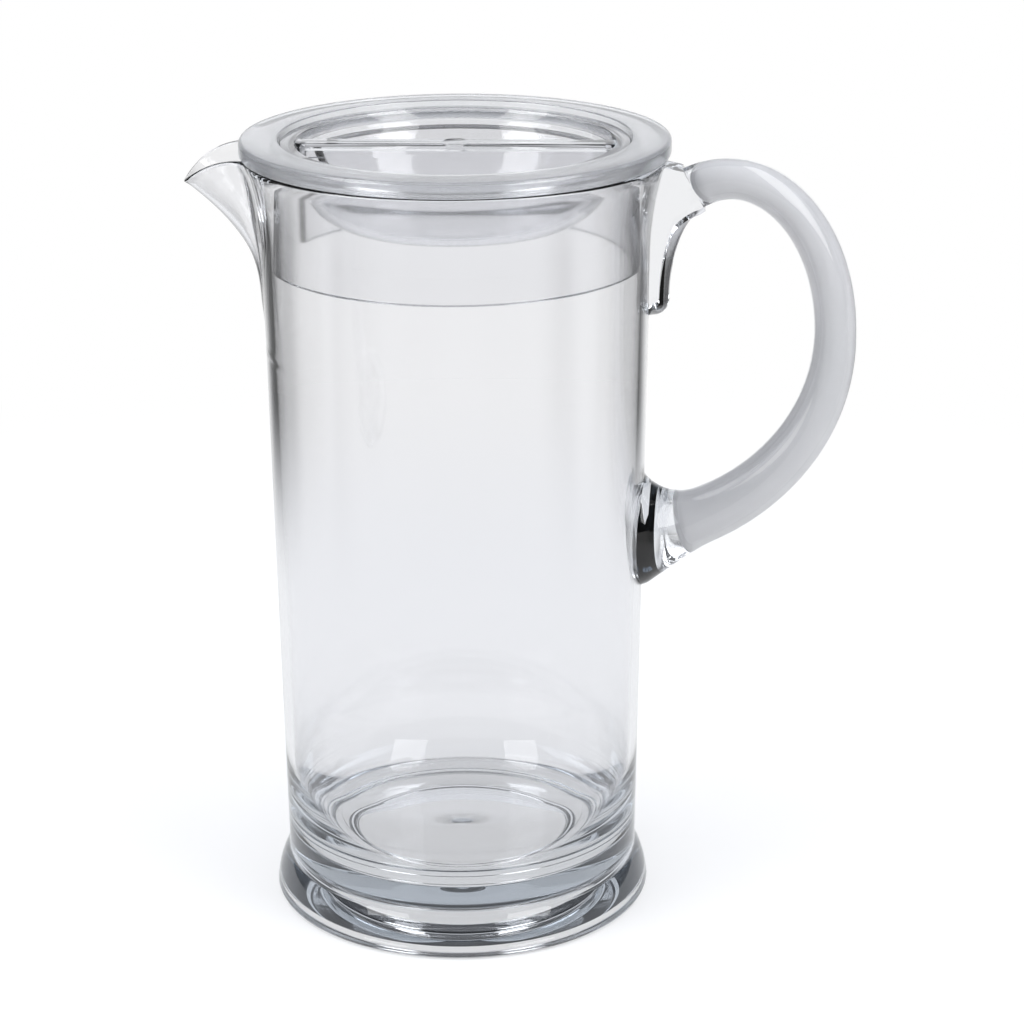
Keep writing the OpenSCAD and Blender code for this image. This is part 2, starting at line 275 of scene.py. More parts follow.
@dataclass
class Jug:
    """The drafted jug with its foot, bell mouth and spout, turned as one closed section.

    Sizes are in millimetres and angles in degrees, here and in the other pieces.
    """

    plastic: ClearPlastic
    height: float = 245.0
    radius: float = 60.2
    wall: float = 2.8
    draft: float = 0.9
    flare_h: float = 30.0
    flare_out: float = 4.8
    floor_t: float = 5.0
    floor_fillet: float = 13.0
    floor_rise: float = 30.0
    foot_h: float = 14.0
    foot_out: float = 4.2
    recess_r: float = 40.2
    recess_z: float = 8.5
    recess_fillet: float = 5.0
    recess_lean: float = 0.2
    ring_z: float = 2.0
    seat_w: float = 3.0
    low_edge: float = 0.4
    crease: float = 0.3
    foot_edge: float = 2.0
    gate_r: float = 6.0
    gate_flat_r: float = 4.0
    gate_depth: float = 0.4
    middle_r: float = 20.0
    spout_drop: float = 52.0
    spout_reach: float = 23.8
    lip_drop: float = 9.0
    spout_w: float = 32.0
    spout_root_w: float = 10.0
    spout_sink: float = 0.8
    spout_curve: float = 2.3
    spout_blend: float = 5.0
    spout_stretch: float = 1.06
    spout_zone: float = 33.0
    spout_centre: float = 38.0
    spout_start: float = 30.0
    spout_least: float = 40.0
    spout_fade: float = 12.0
    spout_margin: float = 8.0
    lip_curve: float = 1.5
    rim_edge: float = 0.9
    fine_row: float = 2.0
    steps: int = 400

    @property
    def flare_z(self) -> float:
        """Height where the bell mouth begins."""
        return self.height - self.flare_h

    @property
    def spout_z(self) -> float:
        """Height where the spout begins."""
        return self.height - self.spout_drop

    def wall_r(self, z: np.ndarray | float) -> np.ndarray | float:
        """Gives the wall's outer radius at a height."""
        bend = (self.flare_h ** 2 + self.flare_out ** 2) / (2 * self.flare_out)
        up = np.clip(z - self.flare_z, 0, self.flare_h)
        slope = math.tan(math.radians(self.draft))
        return self.radius + (z - self.flare_z) * slope + bend - np.sqrt(bend ** 2 - up ** 2)

    def profile(self) -> list[Point]:
        """Gives the closed section from the underside's middle round the wall to the floor's middle."""
        foot_r = float(self.wall_r(self.foot_h)) + self.foot_out
        foot_arc = (self.foot_h ** 2 + self.foot_out ** 2) / (2 * self.foot_out)
        seat_r = foot_r - self.foot_edge
        floor_z = self.foot_h + self.floor_t
        gate_z = self.recess_z + self.gate_depth
        under = [(0.0, gate_z), (self.gate_flat_r, gate_z), (self.gate_r, self.recess_z),
                 (self.middle_r, self.recess_z)]
        corner = (self.recess_r - self.recess_fillet, self.recess_z - self.recess_fillet)
        low_r = self.recess_r + self.recess_lean
        slope = [*arc(corner, self.recess_fillet, 90, 0, 16)]
        slope += [*arc((low_r + self.low_edge, self.ring_z + self.low_edge), self.low_edge, 180, 270, 6),
                  *arc((seat_r - self.seat_w, self.ring_z), self.ring_z, 180, 270, 8)]
        edge = arc((seat_r, self.foot_edge), self.foot_edge, -90, 0, 8)
        foot = [(foot_r - foot_arc + math.sqrt(foot_arc ** 2 - z * z), z)
                for z in np.linspace(self.foot_edge, self.foot_h, 14)[1:]]
        plain_rows = np.linspace(self.foot_h + 4, self.spout_z - 12, 14)
        heights = [*plain_rows, *np.arange(self.spout_z - 10, self.height - 2, self.fine_row)]
        outside = [(float(self.wall_r(z)), float(z)) for z in heights]
        rim_r = float(self.wall_r(self.height))
        round_r = self.rim_edge
        rim = [*arc((rim_r - round_r, self.height - round_r), round_r, 0, 90, 4),
               *arc((rim_r - self.wall + round_r, self.height - round_r), round_r, 90, 180, 4)]
        corner_z = floor_z + self.floor_rise
        inside = [(float(self.wall_r(z)) - self.wall, float(z))
                  for z in reversed(heights) if z > corner_z + 1]
        corner_r = float(self.wall_r(corner_z)) - self.wall - self.floor_fillet
        fillet = [(corner_r + self.floor_fillet * math.cos(a), corner_z - self.floor_rise * math.sin(a))
                  for a in np.linspace(0, math.pi / 2, 28)]
        disc_z = floor_z + self.crease
        return [*under, *slope, *edge, *foot, *outside, *rim, *inside, *fillet,
                (corner_r - self.crease / 2, disc_z), (self.middle_r, disc_z), (0.0, disc_z)]

    def keel_x(self, z: np.ndarray) -> np.ndarray:
        """Gives how far the spout's nose stands out at a height."""
        share = np.clip((z - self.spout_z) / (self.spout_drop - self.lip_drop), 0, None)
        return self.radius - self.spout_sink + self.spout_reach * share ** self.spout_curve

    def nose_r(self, z: np.ndarray) -> np.ndarray:
        """Gives the half width of the spout at a height."""
        widening = self.spout_w - self.spout_root_w
        return (self.spout_root_w + widening * (z - self.spout_z) / self.spout_drop) / 2

    def distance(self, x: np.ndarray, y: np.ndarray, z: np.ndarray) -> np.ndarray:
        """Gives the distance from the outline at a height, where wall and spout run into each other.

        Args:
            x: Places towards the spout.
            y: Places across it.
            z: Heights.

        Returns:
            Distances in millimetres, below zero inside.
        """
        wall = np.hypot(x, y) - self.wall_r(z)
        half = self.nose_r(z)
        end = np.maximum(self.keel_x(z) - half, self.spout_least)
        along = np.clip(x, self.spout_start, end)
        horn = np.hypot(x - along, y / self.spout_stretch) - half
        share = np.clip(1 - np.abs(wall - horn) / self.spout_blend, 0, 1)
        mixed = np.minimum(wall, horn) - share ** 2 * self.spout_blend / 4
        fade = np.clip((z - self.spout_z + self.spout_fade / 2) / self.spout_fade, 0, 1)
        return wall + (mixed - wall) * fade * fade * (3 - 2 * fade)

    def pull_spout(self, piece: bpy.types.Object) -> None:
        """Draws the wall's points out to the spout and lets the lip fall towards its tip.

        Each point moves along a ray from inside the jug until it has its old depth under the new outline.
        Its height and that outline depend on each other, so both are found in several rounds.

        Args:
            piece: The turned jug.
        """
        mesh = piece.data
        flat = np.empty(len(mesh.vertices) * 3)
        mesh.vertices.foreach_get("co", flat)
        points = flat.reshape(-1, 3) / MM
        x, y, z = -points[:, 0], points[:, 1], points[:, 2].copy()
        zone = math.radians(self.spout_zone)
        turn = np.arctan2(y, x)
        pick = (np.abs(turn) < zone) & (z > self.spout_z - self.spout_margin)
        turn, z = turn[pick], z[pick]
        depth = np.hypot(x[pick], y[pick]) - self.wall_r(z)
        centre = self.spout_centre
        start_z = z.copy()
        top_share = np.clip((start_z - self.spout_z) / self.spout_drop, 0, 1) ** self.lip_curve
        rim_r = float(self.wall_r(self.height))
        reach = self.radius + self.spout_reach - rim_r
        bend = (reach ** 2 + self.lip_drop ** 2) / (2 * self.lip_drop)
        rounds, halvings, ease = 30, 26, 0.35
        shortest, longest, touch = 1.0, 80.0, 0.01
        for _ in range(rounds):
            ring = self.wall_r(z) + depth
            limit = np.arctan2(ring * math.sin(zone), ring * math.cos(zone) - centre)
            ray = limit * turn / zone
            low, high = np.full_like(z, shortest), np.full_like(z, longest)
            for _ in range(halvings):
                middle = (low + high) / 2
                far = self.distance(centre + middle * np.cos(ray), middle * np.sin(ray), z) > depth
                high = np.where(far, middle, high)
                low = np.where(far, low, middle)
            out_x, out_y = centre + low * np.cos(ray), low * np.sin(ray)
            past = np.clip(out_x - rim_r, 0, reach + 2)
            drop = np.where(np.hypot(out_x, out_y) > ring + touch, bend - np.sqrt(bend ** 2 - past ** 2), 0)
            z = z + ease * (start_z - top_share * drop - z)
        points[pick] = np.column_stack([-out_x, out_y, z])
        mesh.vertices.foreach_set("co", (points * MM).ravel())
        mesh.update()

    def build(self) -> bpy.types.Object:
        """Turns the section and draws out the spout."""
        piece = turned("jug_shell", self.profile(), self.steps)
        self.pull_spout(piece)
        return piece

    def dress(self, piece: bpy.types.Object) -> None:
        """Gives the jug its plastic and its place."""
        piece.data.materials.append(self.plastic.make())
        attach(piece, Body.JUG.value)


@dataclass
class Handle:
    """The loop handle: a hollow grip, a solid flared root below and a gusset above.

    Places along its curve run from 0 at the root over 1 at the belly to 2 at the upper joint.
    """

    jug: Jug
    inside: ClearPlastic
    drop: float = 11.7
    height: float = 109.8
    reach: float = 57.76
    belly: float = 63.5
    root_depth: float = 4.8
    root_pull: Point = (26.0, -2.5)
    belly_below: float = 41.0
    belly_above: float = 35.0
    top_stand: float = 11.8
    top_pull: Point = (22.0, 12.7)
    top_d: float = 12.0
    mid_d: float = 13.0
    low_d: float = 20.0
    grip_wall: float = 2.2
    root_spread: float = 9.0
    root_side: float = 6.0
    root_length: float = 20.0
    crown_from: float = 1.7
    crown_length: float = 0.3
    gusset_t: float = 11.6
    gusset_h: float = 47.7
    gusset_nose: float = 4.9
    gusset_stand: float = 1.0
    gusset_top_gap: float = 3.8
    gusset_rise: float = 12.0
    gusset_blend: float = 9.0
    gusset_into: float = 1.5
    gusset_rows: int = 8
    gusset_steps: int = 14
    ridge: float = 3.2
    ridge_curve: float = 1.3
    ridge_fade: int = 4
    root_from: float = 0.033
    hollow_from: float = 0.17
    hollow_to: float = 1.985
    hollow_dome: float = 5.0
    sides: int = 64
    rings: int = 110

    @property
    def low_z(self) -> float:
        """Height of the lower root's middle."""
        return self.jug.height - self.drop - self.height

    def low_half(self) -> list[Point]:
        """Control points of the curve from the root to the belly."""
        low = (float(self.jug.wall_r(self.low_z)) - self.root_depth, self.low_z)
        belly = (self.jug.radius + self.reach, self.low_z + self.belly)
        pull = (low[0] + self.root_pull[0], low[1] + self.root_pull[1])
        return [low, pull, (belly[0], belly[1] - self.belly_below), belly]

    def top_half(self) -> list[Point]:
        """Control points of the curve from the belly to the upper joint."""
        belly = (self.jug.radius + self.reach, self.low_z + self.belly)
        top = (self.jug.radius + self.top_stand, self.low_z + self.height)
        pull = (top[0] + self.top_pull[0], top[1] + self.top_pull[1])
        return [belly, (belly[0], belly[1] + self.belly_above), pull, top]

    def path(self, u: float) -> Point:
        """Gives the point at the place u."""
        return cubic(self.low_half(), u) if u < 1 else cubic(self.top_half(), u - 1)

    def across(self, u: float) -> Point:
        """Gives the direction across the curve in its plane."""
        small = 1e-4
        before, after = self.path(u - small), self.path(u + small)
        dx, dz = after[0] - before[0], after[1] - before[1]
        size = math.hypot(dx, dz)
        return (-dz / size, dx / size)

    def half_sizes(self, u: float) -> Point:
        """Gives the section's half height in the curve's plane and its half width across it."""
        if u < 1:
            grip = (self.low_d + (self.mid_d - self.low_d) * u) / 2
            off_wall = max(0.0, self.path(u)[0] - float(self.jug.wall_r(self.low_z)))
            root = max(0.0, 1 - off_wall / self.root_length) ** 2
        else:
            grip, root = (self.mid_d + (self.top_d - self.mid_d) * (u - 1)) / 2, 0.0
        crown = max(0.0, (u - self.crown_from) / self.crown_length) ** 2
        return (grip + self.root_spread * root + crown, grip + self.root_side * root)

    def tube(self, name: str, start: float, stop: float, inset: float, round_ends: bool) -> bpy.types.Object:
        """Extrudes a circle ring by ring and lays the rings along the handle's curve.

        Args:
            name: Name of the new piece.
            start: First place on the curve.
            stop: Last place on the curve.
            inset: How far the surface lies inside the grip's skin.
            round_ends: Whether the ends close to a dome.

        Returns:
            The closed tube.
        """
        deselect()
        bpy.ops.mesh.primitive_circle_add(vertices=self.sides, radius=MM)
        piece = bpy.context.active_object
        piece.name = name
        piece.data.name = name
        bpy.ops.object.mode_set(mode="EDIT")
        bpy.ops.mesh.select_all(action="SELECT")
        bpy.ops.mesh.edge_face_add()
        for _ in range(self.rings):
            bpy.ops.mesh.extrude_region_move(TRANSFORM_OT_translate={"value": (0, 0, MM)})
        bpy.ops.object.mode_set(mode="OBJECT")
        parts = 200
        stops = [self.path(start + (stop - start) * i / parts) for i in range(parts + 1)]
        length = sum(math.dist(before, after) for before, after in zip(stops, stops[1:]))
        for vertex in piece.data.vertices:
            share = round(vertex.co.z / MM) / self.rings
            angle = math.atan2(vertex.co.y, vertex.co.x)
            scale = 1.0
            if round_ends:
                share = 0.5 - 0.5 * math.cos(math.pi * share)
                near = min(share, 1 - share) * length
                scale = math.sqrt(max(0.0, 1 - (1 - min(1.0, near / self.hollow_dome)) ** 2))
            u = start + (stop - start) * share
            tall, wide = self.half_sizes(u)
            cx, cz = self.path(u)
            ax, az = self.across(u)
            up = (tall - inset) * scale * math.cos(angle)
            vertex.co = Vector((cx + up * ax, (wide - inset) * scale * math.sin(angle), cz + up * az)) * MM
        return close_up(piece)

    def gusset(self) -> bpy.types.Object:
        """Draws the gusset's outline, gives it its thickness and draws its outer edge out to a ridge."""
        jug = self.jug
        top = self.path(2)
        tall = self.half_sizes(2)[0]
        ax, az = self.across(2)
        into = (self.gusset_into * -az, self.gusset_into * ax)
        joint_low = (top[0] + tall * ax + into[0], top[1] + tall * az + into[1])
        joint_high = (top[0] - tall * ax + into[0], top[1] - tall * az + into[1])
        nose_r, top_z = self.gusset_nose, jug.height - self.gusset_top_gap
        nose = (jug.radius + self.gusset_stand, top_z - self.gusset_h + nose_r)
        nose_end = (nose[0] + nose_r, nose[1])
        along = self.gusset_blend / math.hypot(*self.top_pull)
        edge = [nose_end, (nose_end[0], nose_end[1] + self.gusset_rise),
                (joint_low[0] - along * self.top_pull[0], joint_low[1] - along * self.top_pull[1]), joint_low]
        rim = (float(jug.wall_r(jug.height)) - self.gusset_stand, top_z)
        inside = [(float(jug.wall_r(z)) - jug.wall / 2, float(z))
                  for z in np.linspace(top_z, nose[1] - nose_r, 12)]
        steps = self.gusset_steps
        ridged = [*arc(nose, nose_r, -90, 0, 8)[:-1], *[cubic(edge, i / steps) for i in range(steps)]]
        outline = [inside[-1], *ridged, joint_low, joint_high, rim, *inside[:-1]]
        half, last = self.gusset_t / 2, len(ridged)
        row = (0, self.gusset_t / self.gusset_rows * MM, 0)
        piece = trace("gusset", [(x, -half, z) for x, z in outline])
        bpy.ops.mesh.select_all(action="SELECT")
        bpy.ops.mesh.edge_face_add()
        for _ in range(self.gusset_rows):
            bpy.ops.mesh.extrude_region_move(TRANSFORM_OT_translate={"value": row})
        bpy.ops.object.mode_set(mode="OBJECT")
        for vertex in piece.data.vertices:
            x, y, z = vertex.co / MM
            spot = min(range(len(outline)), key=lambda i: math.dist(outline[i], (x, z)))
            if 1 <= spot <= last:
                before, after = outline[spot - 1], outline[spot + 1]
                fade = min(1.0, (last - spot) / self.ridge_fade)
                draw = self.ridge * (abs(y) / half) ** self.ridge_curve * fade / math.dist(before, after)
                in_x, in_z = draw * (after[1] - before[1]), draw * (after[0] - before[0])
                vertex.co = Vector((x - in_x, y, z + in_z)) * MM
        return close_up(piece)

    def build(self) -> tuple[bpy.types.Object, bpy.types.Object]:
        """Builds the handle as one closed piece, and the hollow in the grip as a shell that faces inwards."""
        piece = self.tube("handle_loop", self.root_from, 2.0, 0.0, False)
        combine(piece, self.gusset(), "UNION")
        hollow = self.tube("grip_hollow", self.hollow_from, self.hollow_to, self.grip_wall, True)
        hollow.data.flip_normals()
        return piece, hollow

    def line(self, piece: bpy.types.Object, places: list[int]) -> None:
        """Gives the faces of the hollow their own plastic."""
        piece.data.materials.append(self.inside.make())
        for place in places:
            piece.data.polygons[place].material_index = 1


def unite_shells(piece: bpy.types.Object, *shells: bpy.types.Object) -> None:
    """Joins shells into a piece without touching their faces.

    Args:
        piece: The piece that stays.
        shells: Pieces that become part of it.
    """
    deselect()
    for shell in shells:
        shell.select_set(True)
    piece.select_set(True)
    bpy.context.view_layer.objects.active = piece
    bpy.ops.object.join()


@dataclass
class LidRing:
    """The flange ring that lies on the rim, with a ledge for the lip of the lid's middle."""

    jug: Jug
    plastic: ClearPlastic
    thickness: float = 5.0
    over: float = 0.79
    width: float = 15.0
    lip_sink: float = 1.6
    lip_t: float = 1.4
    lip_w: float = 2.7
    run_gap: float = 0.4
    lift: float = 0.05
    edge: float = 1.2
    low_edge: float = 0.9
    seat_edge: float = 0.5
    hole_edge: float = 0.4
    ledge_edge: float = 0.3
    steps: int = 360

    @property
    def outer_r(self) -> float:
        """Radius of the ring's outer edge."""
        return float(self.jug.wall_r(self.jug.height)) + self.over

    @property
    def top_z(self) -> float:
        """Height of the ring's top."""
        return self.jug.height + self.thickness

    @property
    def hole_r(self) -> float:
        """Radius of the ring's hole."""
        return self.outer_r - self.width

    @property
    def lip_r(self) -> float:
        """Radius of the lip that lies on the ledge."""
        return self.hole_r + self.lip_w

    @property
    def lip_z(self) -> float:
        """Height of that lip's top."""
        return self.top_z - self.lip_sink

    def build(self) -> bpy.types.Object:
        """Turns the ring's section with rounded edges."""
        low = self.jug.height + self.lift
        hole, seat = self.hole_r, self.lip_r + self.run_gap
        ledge = self.lip_z - self.lip_t
        section = [(hole, low + self.hole_edge), (hole + self.hole_edge, low),
                   *arc((self.outer_r - self.low_edge, low + self.low_edge), self.low_edge, -90, 0, 5),
                   *arc((self.outer_r - self.edge, self.top_z - self.edge), self.edge, 0, 90, 8),
                   *arc((seat + self.seat_edge, self.top_z - self.seat_edge), self.seat_edge, 90, 180, 5),
                   (seat, ledge), (hole + self.ledge_edge, ledge), (hole, ledge - self.ledge_edge),
                   (hole, low + self.hole_edge)]
        return turned("lid_flange_ring", section, self.steps)

    def dress(self, piece: bpy.types.Object) -> None:
        """Gives the ring its plastic and its place."""
        piece.data.materials.append(self.plastic.make())
        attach(piece, Body.FLANGE.value)
        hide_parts("lid_ring")


@dataclass
class LidCentre:
    """The turning middle of the lid: sunk bowl with a grip bar, and the skirt below with its pouring gap."""

    jug: Jug
    ring: LidRing
    plastic: ClearPlastic
    bowl_d: float = 22.4
    bowl_side_w: float = 18.5
    bowl_t: float = 2.4
    bar_w: float = 9.0
    skirt_h: float = 33.7
    skirt_t: float = 2.2
    web_t: float = 2.4
    pour_w: float = 41.0
    pour_deep: Point = (40.0, 70.0)
    pour_below: float = 5.0
    mouth_gap: float = 0.35
    web_gap: float = 0.3
    web_clear: float = 0.4
    edge: float = 0.3
    lip_edge: float = 0.5
    web_edge: float = 0.8
    corner: float = 1.0
    flat_share: float = 0.6
    brink: float = 0.06
    bar_over: float = 1.05
    bar_sink: float = 0.4
    bar_edge: float = 1.2
    boss_r: float = 5.0
    boss_h: float = 2.0
    boss_edge: float = 0.2
    dimple_top_r: float = 4.2
    dimple_r: float = 3.6
    dimple_d: float = 0.4
    steps: int = 360

    @property
    def bowl_r(self) -> float:
        """Radius of the bowl's mouth."""
        return self.ring.hole_r - self.ring.run_gap - self.bowl_t

    @property
    def flat_r(self) -> float:
        """Radius of the bowl's flat bottom."""
        return self.bowl_r - self.bowl_side_w

    @property
    def web_low(self) -> float:
        """Height of the web's underside, where the pouring gap ends."""
        return self.jug.height - self.web_gap - self.web_t

    @property
    def skirt_z(self) -> float:
        """Height of the skirt's lower edge."""
        return self.jug.height - self.skirt_h

    def bowl_side(self, out: float, angles: np.ndarray) -> list[Point]:
        """Gives the bowl's curved side, out from its inner face by a distance.

        Args:
            out: Distance from the inner face.
            angles: Places on the curve, from 0 at the mouth to a quarter turn at the flat bottom.

        Returns:
            Radius and height of the points.
        """
        return [(self.flat_r + (self.bowl_side_w + out) * math.cos(a),
                 self.ring.lip_z - (self.bowl_d + out) * math.sin(a)) for a in angles]

    def block(self, name: str, low: Triple, high: Triple) -> bpy.types.Object:
        """Makes a block between two corners.

        Args:
            name: Name of the new piece.
            low: Its lower corner.
            high: Its upper corner.

        Returns:
            The block.
        """
        deselect()
        middle = [(a + b) / 2 * MM for a, b in zip(low, high)]
        size = [(b - a) * MM for a, b in zip(low, high)]
        bpy.ops.mesh.primitive_cube_add(size=1, location=middle, scale=size)
        piece = bpy.context.active_object
        piece.name = name
        bpy.ops.object.transform_apply(location=True, rotation=False, scale=True)
        return piece

    def section(self) -> list[Point]:
        """Gives the closed section of bowl, web and skirt."""
        ring, edge = self.ring, self.edge
        lip_r, lip_z, lip_edge = ring.lip_r, ring.lip_z, self.lip_edge
        ledge = lip_z - ring.lip_t + ring.lift
        skirt_z, web_low = self.skirt_z, self.web_low
        out_r = float(self.jug.wall_r(skirt_z)) - self.jug.wall - self.mouth_gap
        in_r = out_r - self.skirt_t
        web_top = self.jug.height - self.web_gap
        inner = self.bowl_side(0.0, np.linspace(self.brink, math.pi / 2, 22))
        outer = self.bowl_side(self.bowl_t, np.linspace(math.pi / 2, self.brink, 40))
        low_part = [p for p in outer if p[1] < web_low - self.web_clear]
        high_part = [p for p in outer if web_top + edge < p[1] < ledge - edge]
        web = [(low_part[-1][0] + self.web_edge, web_low), (in_r - self.corner, web_low),
               (in_r, web_low - self.corner), (in_r, skirt_z + edge), (in_r + edge, skirt_z),
               (out_r - edge, skirt_z), (out_r, skirt_z + edge), (out_r, web_top - self.web_edge),
               (out_r - self.web_edge, web_top), (high_part[0][0] + 2 * edge, web_top)]
        lip = [(high_part[-1][0] + edge, ledge), (lip_r - edge, ledge), (lip_r, ledge + edge),
               *arc((lip_r - lip_edge, lip_z - lip_edge), lip_edge, 0, 90, 5),
               (self.bowl_r + 3 * edge, lip_z)]
        middle_r, bottom = self.flat_r * self.flat_share, lip_z - self.bowl_d
        return [(0.0, bottom - self.bowl_t), (middle_r, bottom - self.bowl_t), *low_part, *web,
                *high_part, *lip, *inner, (middle_r, bottom), (0.0, bottom)]

    def bar(self) -> bpy.types.Object:
        """Shapes the grip bar: a block with rounded top edges, cut to the bowl's section."""
        lip_z, out = self.ring.lip_z, self.bowl_t / 2
        top, low = lip_z - self.bar_sink, lip_z - self.bowl_d - out
        far, half = self.bar_over * self.bowl_r, self.bar_w / 2
        piece = self.block("grip_bar", (-far, -half, low), (far, half, top))
        bpy.ops.object.mode_set(mode="EDIT")
        bpy.ops.mesh.select_all(action="DESELECT")
        slack = 0.1
        work = bmesh.from_edit_mesh(piece.data)
        work.select_mode = {"EDGE"}
        for line in work.edges:
            ends = [v.co / MM for v in line.verts]
            line.select = all(v.z > top - slack for v in ends) and abs(ends[0].y - ends[1].y) < slack
        work.select_flush_mode()
        bmesh.update_edit_mesh(piece.data)
        bpy.ops.mesh.bevel(offset=self.bar_edge * MM, segments=5, profile=0.5)
        bpy.ops.object.mode_set(mode="OBJECT")
        cup = [(0.0, low), (self.flat_r * self.flat_share, low),
               *self.bowl_side(out, np.linspace(math.pi / 2, 0.0, 24)), (0.0, lip_z)]
        combine(piece, turned("bowl_space", cup, 180), "INTERSECT")
        boss_r, boss_low, dimple = self.boss_r, top - self.boss_h, top - self.dimple_d
        boss = [(0.0, boss_low), (boss_r, boss_low), (boss_r, top - self.boss_edge),
                (boss_r - self.boss_edge, top), (self.dimple_top_r, top),
                (self.dimple_r, dimple), (0.0, dimple)]
        combine(piece, turned("gate_boss", boss, 48), "UNION")
        return piece

    def bar_core(self) -> bpy.types.Object:
        """Shapes the space that is left open under the grip bar, so that its skin is as thin as the bowl."""
        lip_z = self.ring.lip_z
        far, half = self.bowl_r - self.bowl_t, self.bar_w / 2 - self.bowl_t
        top, low = lip_z - self.bar_sink - self.bowl_t, lip_z - self.bowl_d - 3 * self.bowl_t
        return self.block("bar_core", (-far, -half, low), (far, half, top))

    def build(self) -> bpy.types.Object:
        """Turns the section, adds the bar, opens it from below and cuts the pouring gap."""
        piece = turned("lid_centre_bowl", self.section(), self.steps)
        combine(piece, self.bar(), "UNION")
        combine(piece, self.bar_core(), "DIFFERENCE")
        near, far = self.pour_deep
        half = self.pour_w / 2
        low = self.skirt_z - self.pour_below
        gap = self.block("pour_gap", (-far, -half, low), (-near, half, self.web_low))
        combine(piece, gap, "DIFFERENCE")
        return close_up(piece)

    def dress(self, piece: bpy.types.Object) -> None:
        """Gives the lid's middle its plastic and its place."""
        piece.data.materials.append(self.plastic.make())
        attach(piece, Body.CENTRE.value)
        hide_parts("lid_dial", "lid_skirt")


